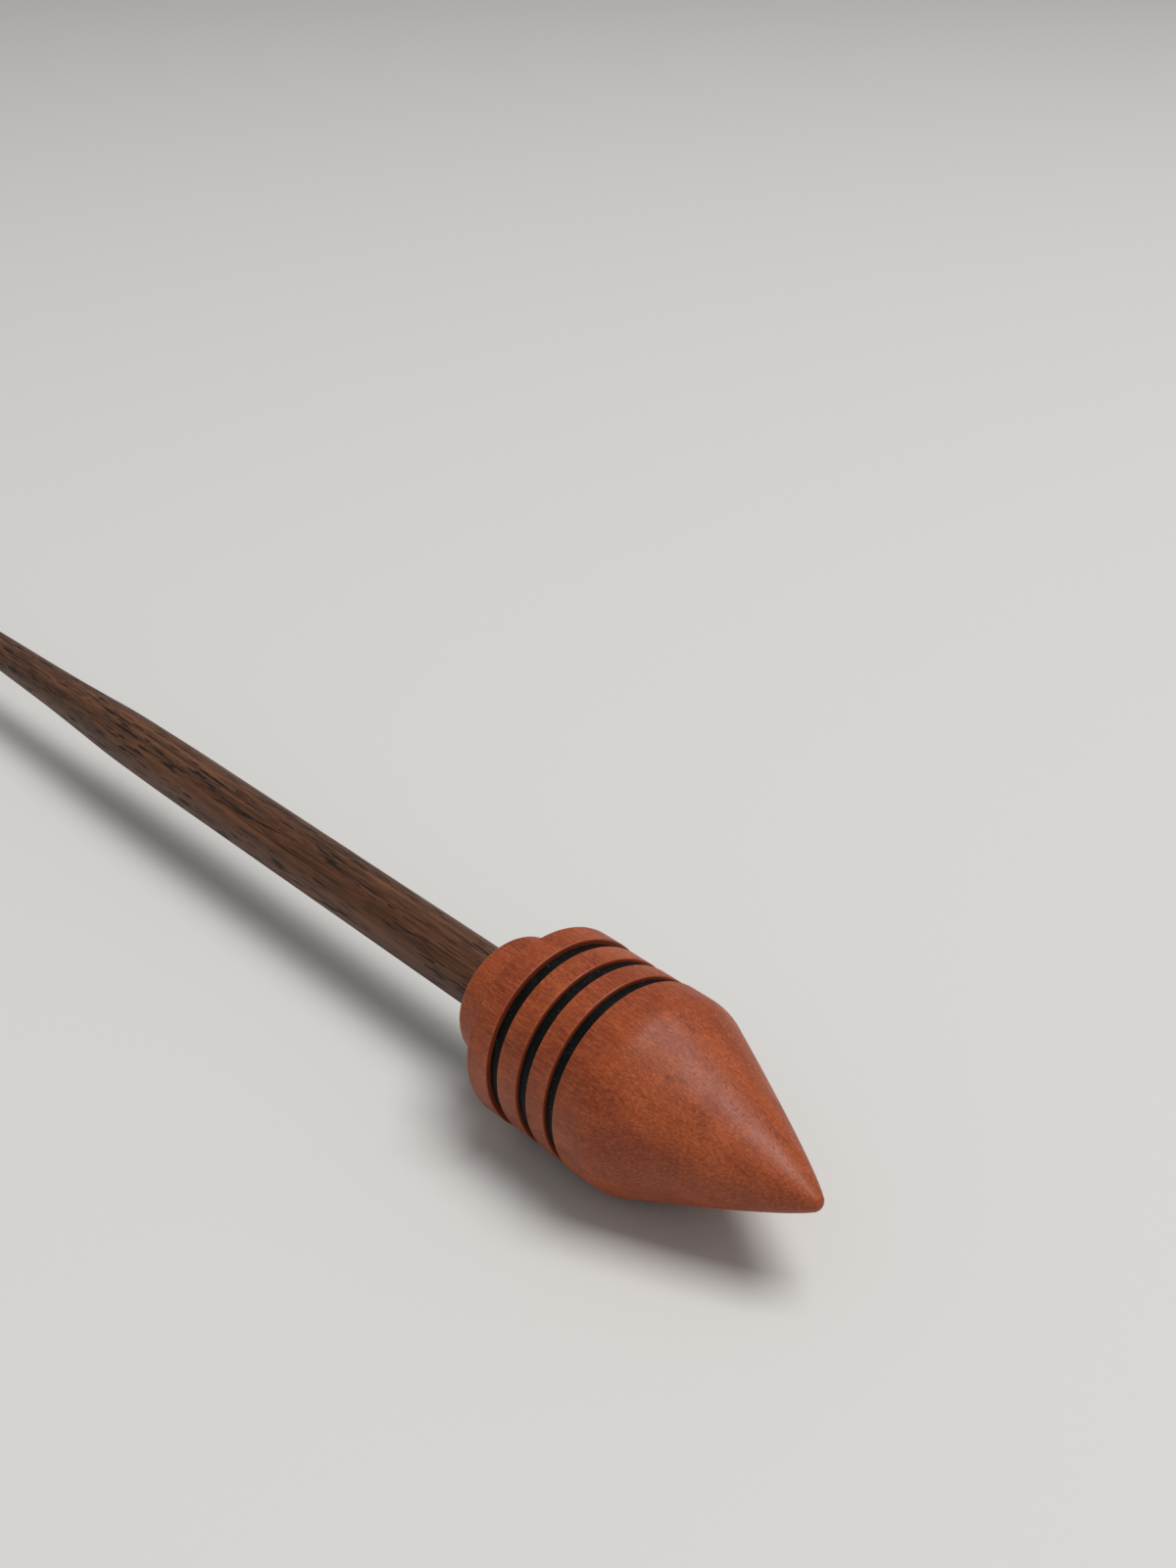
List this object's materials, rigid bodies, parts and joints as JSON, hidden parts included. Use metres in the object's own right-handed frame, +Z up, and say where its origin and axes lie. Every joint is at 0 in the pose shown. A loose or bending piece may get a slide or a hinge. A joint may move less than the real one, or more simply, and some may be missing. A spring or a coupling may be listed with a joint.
{
  "type": "support spindle",
  "caption": "Turned wooden support spindle: a pointed, grooved whorl on a slender tapered shaft that is spun by hand with its point in a bowl.",
  "frame": {"origin": "the spinning point, the very tip of the whorl's cone", "axes": "+X along the spindle's own axis, from the spinning point towards the shaft's thin tip; the spindle lies level, +Z is up and +Y completes the right-handed frame"},
  "size_m": [0.292, 0.03, 0.03],
  "materials": {
    "shaft_wood": "satin oiled walnut with open pores",
    "whorl_wood": "satin orange-red fruitwood with a fine, close grain",
    "groove_black": "matte black"
  },
  "bodies": {
    "root": {"shaft": "shaft_wood", "whorl": "whorl_wood", "front_groove_ring": "groove_black", "middle_groove_ring": "groove_black", "rear_groove_ring": "groove_black"}
  },
  "joints": []
}
